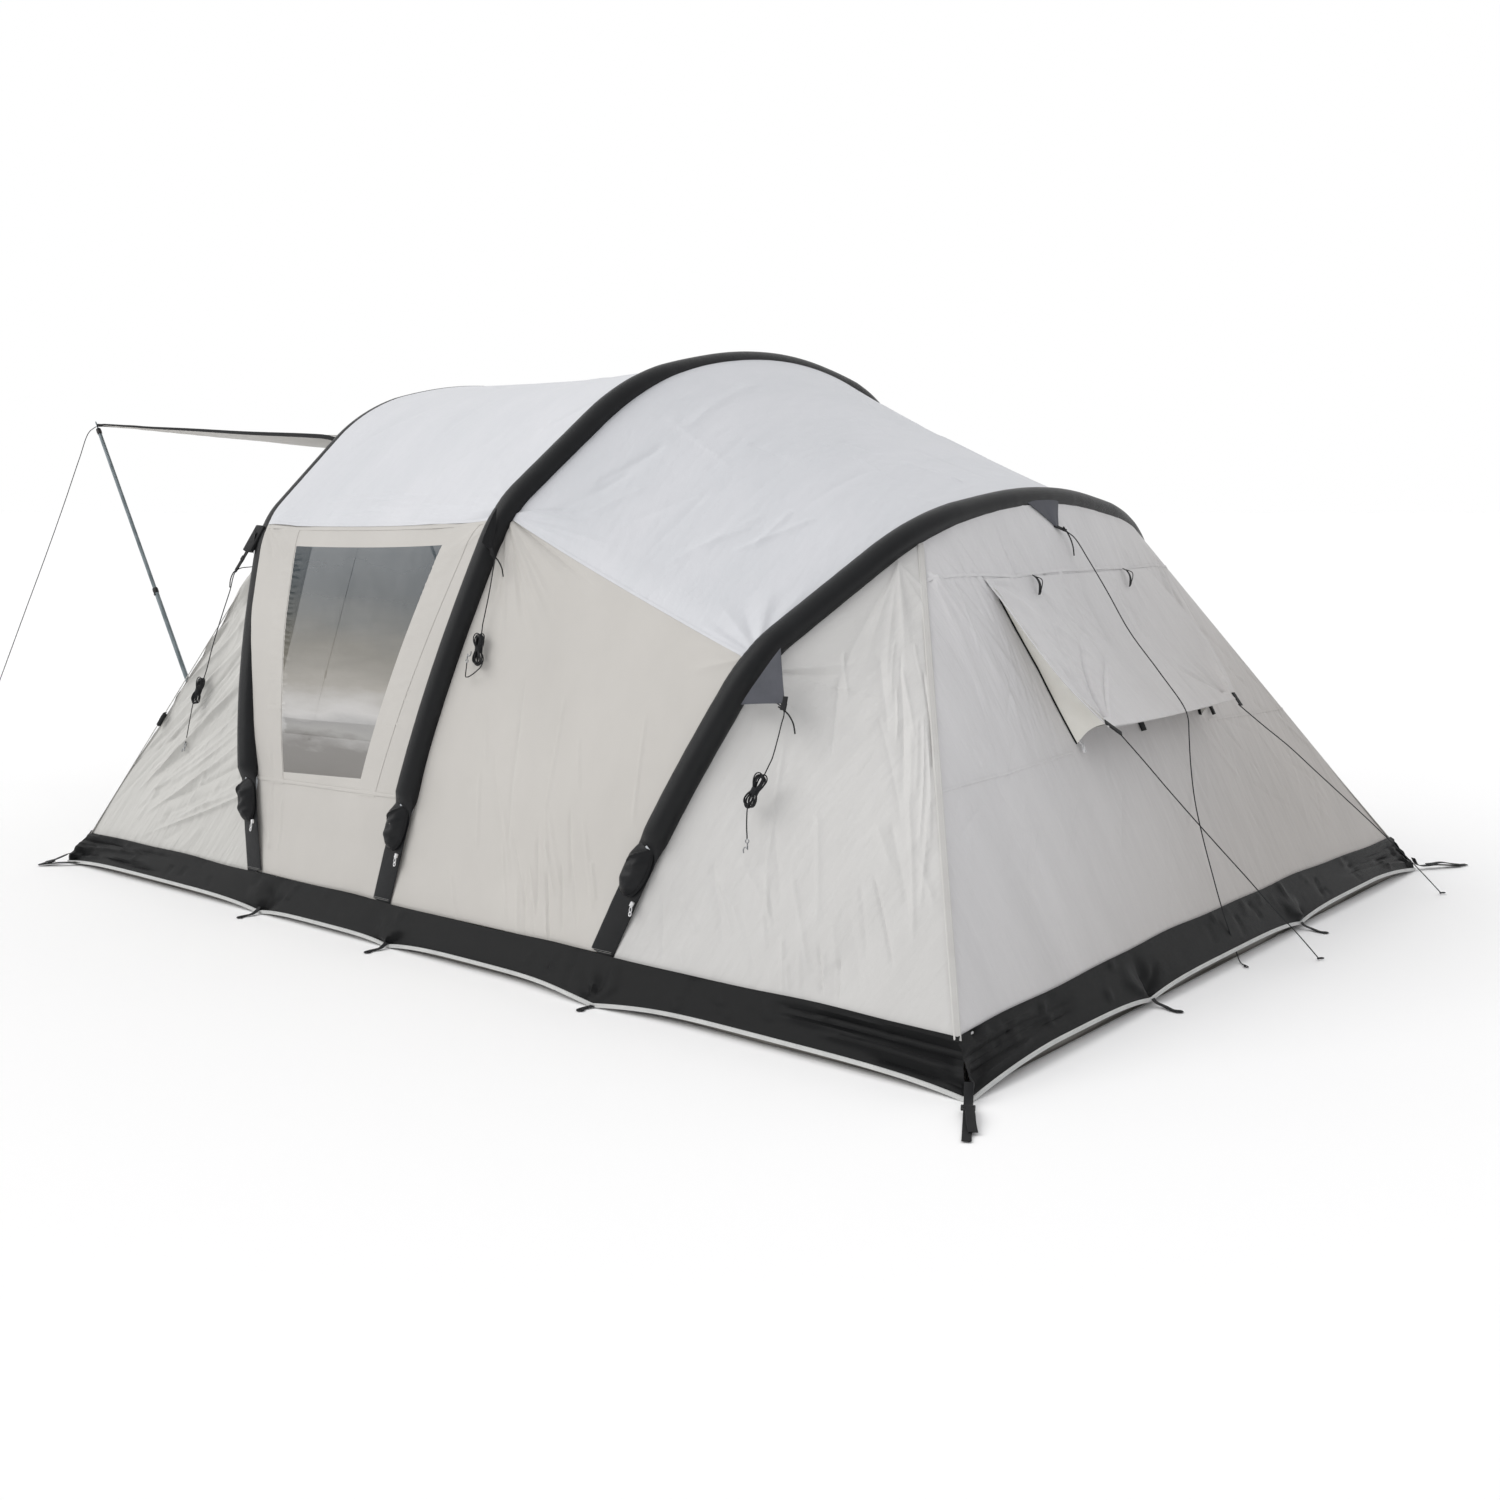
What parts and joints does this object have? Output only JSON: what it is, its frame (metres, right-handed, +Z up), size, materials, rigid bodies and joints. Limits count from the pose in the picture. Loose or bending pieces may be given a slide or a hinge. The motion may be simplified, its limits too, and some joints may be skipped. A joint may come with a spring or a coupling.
{
  "type": "tunnel tent",
  "caption": "Inflatable tunnel tent with air beams in black sleeves, two-tone cloth, window panels, a skirt, and a door raised as a canopy on telescopic poles.",
  "frame": {"origin": "centre of the groundsheet's underside, on the ground", "axes": "+Z up, -X out of the door under the canopy, +X out of the low rear wall, -Y out of the side with the valve pockets"},
  "size_m": [7.0456, 4.0132, 2.1494],
  "materials": {
    "roof_cloth": "matte",
    "wall_cloth": "matte",
    "black_cloth": "satin",
    "air_tube_film": "satin",
    "clear_film": "gloss",
    "groundsheet_cloth": "matte",
    "inner_cloth": "matte",
    "pole_steel": "satin",
    "bright_metal": "polished",
    "black_plastic": "matte",
    "guy_cord": "matte"
  },
  "bodies": {
    "tent": {"groundsheet": "groundsheet_cloth", "mud_flap_near": "black_cloth", "mud_flap_far": "black_cloth", "mud_flap_front": "black_cloth", "mud_flap_rear": "black_cloth", "beam_sleeve_front": "black_cloth", "beam_sleeve_middle": "black_cloth", "beam_sleeve_rear": "black_cloth", "valve_pocket_front": "black_cloth", "valve_pocket_middle": "black_cloth", "valve_pocket_rear": "black_cloth", "corner_strap_near": "black_cloth", "corner_strap_far": "black_cloth", "air_tube_front": "air_tube_film", "air_tube_middle": "air_tube_film", "air_tube_rear": "air_tube_film", "roof_front": "roof_cloth", "roof_rear": "roof_cloth", "rear_wall": "roof_cloth", "door_header": "roof_cloth", "wall_front_near": "wall_cloth", "wall_front_far": "wall_cloth", "wall_rear_near": "wall_cloth", "wall_rear_far": "wall_cloth", "rear_wing_near": "wall_cloth", "rear_wing_far": "wall_cloth", "front_corner_near": "wall_cloth", "front_corner_far": "wall_cloth", "side_window_near": "clear_film", "side_window_far": "clear_film", "rear_window": "clear_film", "inner_tent": "inner_cloth", "inner_partition": "inner_cloth", "valve_body_front": "black_plastic", "valve_body_middle": "black_plastic", "valve_body_rear": "black_plastic", "guy_front_line": "guy_cord", "guy_front_hank": "guy_cord", "guy_middle_line": "guy_cord", "guy_middle_hank": "guy_cord", "guy_rear_line": "guy_cord", "guy_rear_hank": "guy_cord", "rear_crown_line": "guy_cord", "flap_guy_near": "guy_cord", "flap_guy_far": "guy_cord", "pole_guy_near": "guy_cord", "pole_guy_far": "guy_cord"},
    "canopy": {"door_canopy": "wall_cloth"},
    "pole_near": {"pole_near_upper": "pole_steel"},
    "pole_near_leg": {"pole_near_lower": "pole_steel"},
    "pole_far": {"pole_far_upper": "pole_steel"},
    "pole_far_leg": {"pole_far_lower": "pole_steel"},
    "rear_flap": {"rear_window_flap": "roof_cloth"},
    "rear_zip": {"rear_zip_slider": "bright_metal"},
    "valve_cap_front": {"valve_cap_front": "black_plastic"},
    "pocket_zip_front": {"zip_pull_front": "bright_metal"},
    "valve_cap_middle": {"valve_cap_middle": "black_plastic"},
    "pocket_zip_middle": {"zip_pull_middle": "bright_metal"},
    "valve_cap_rear": {"valve_cap_rear": "black_plastic"},
    "pocket_zip_rear": {"zip_pull_rear": "bright_metal"}
  },
  "joints": [
    {"name": "canopy_swing", "type": "hinge", "parent": "tent", "child": "canopy", "pos_m": [-1.512, 0, 1.812], "axis": [0, -1, 0], "range_deg": [0, 70]},
    {"name": "pole_near_swing", "type": "hinge", "parent": "tent", "child": "pole_near", "pos_m": [-2.2812, -0.9, 0.011], "axis": [0, -1, 0], "range_deg": [0, 61]},
    {"name": "pole_near_telescope", "type": "slide", "parent": "pole_near", "child": "pole_near_leg", "axis": [-0.4921, 0, 0.8706], "range_m": [0, 0.85]},
    {"name": "pole_far_swing", "type": "hinge", "parent": "tent", "child": "pole_far", "pos_m": [-2.2812, 0.9, 0.011], "axis": [0, -1, 0], "range_deg": [0, 61]},
    {"name": "pole_far_telescope", "type": "slide", "parent": "pole_far", "child": "pole_far_leg", "axis": [-0.4921, 0, 0.8706], "range_m": [0, 0.85]},
    {"name": "rear_flap_swing", "type": "hinge", "parent": "tent", "child": "rear_flap", "pos_m": [1.626, 0, 1.285], "axis": [0, 1, 0], "range_deg": [0, 11.5]},
    {"name": "rear_zip_slide", "type": "slide", "parent": "tent", "child": "rear_zip", "axis": [-0.4801, -0.1279, 0.8678], "range_m": [0, 0.48]},
    {"name": "valve_cap_front_turn", "type": "hinge", "parent": "tent", "child": "valve_cap_front", "pos_m": [-1.06547, -1.63336, 0.41763], "axis": [-0.0534, -0.9745, 0.2178], "range_deg": [0, 540]},
    {"name": "pocket_zip_front_slide", "type": "slide", "parent": "tent", "child": "pocket_zip_front", "axis": [-0.2319, 0.2243, 0.9465], "range_m": [0, 0.13]},
    {"name": "valve_cap_middle_turn", "type": "hinge", "parent": "tent", "child": "valve_cap_middle", "pos_m": [-0.16479, -1.63555, 0.41745], "axis": [0.0442, -0.9757, 0.2146], "range_deg": [0, 540]},
    {"name": "pocket_zip_middle_slide", "type": "slide", "parent": "tent", "child": "pocket_zip_middle", "axis": [0.1969, 0.2191, 0.9556], "range_m": [0, 0.13]},
    {"name": "valve_cap_rear_turn", "type": "hinge", "parent": "tent", "child": "valve_cap_rear", "pos_m": [0.98304, -1.62256, 0.41833], "axis": [0.0917, -0.9689, 0.2299], "range_deg": [0, 540]},
    {"name": "pocket_zip_rear_slide", "type": "slide", "parent": "tent", "child": "pocket_zip_rear", "axis": [0.3591, 0.2475, 0.8999], "range_m": [0, 0.13]}
  ],
  "couplings": [
    {"joint": "pole_near_swing", "follows": "canopy_swing", "ratio": 0.86},
    {"joint": "pole_far_swing", "follows": "canopy_swing", "ratio": 0.86}
  ]
}
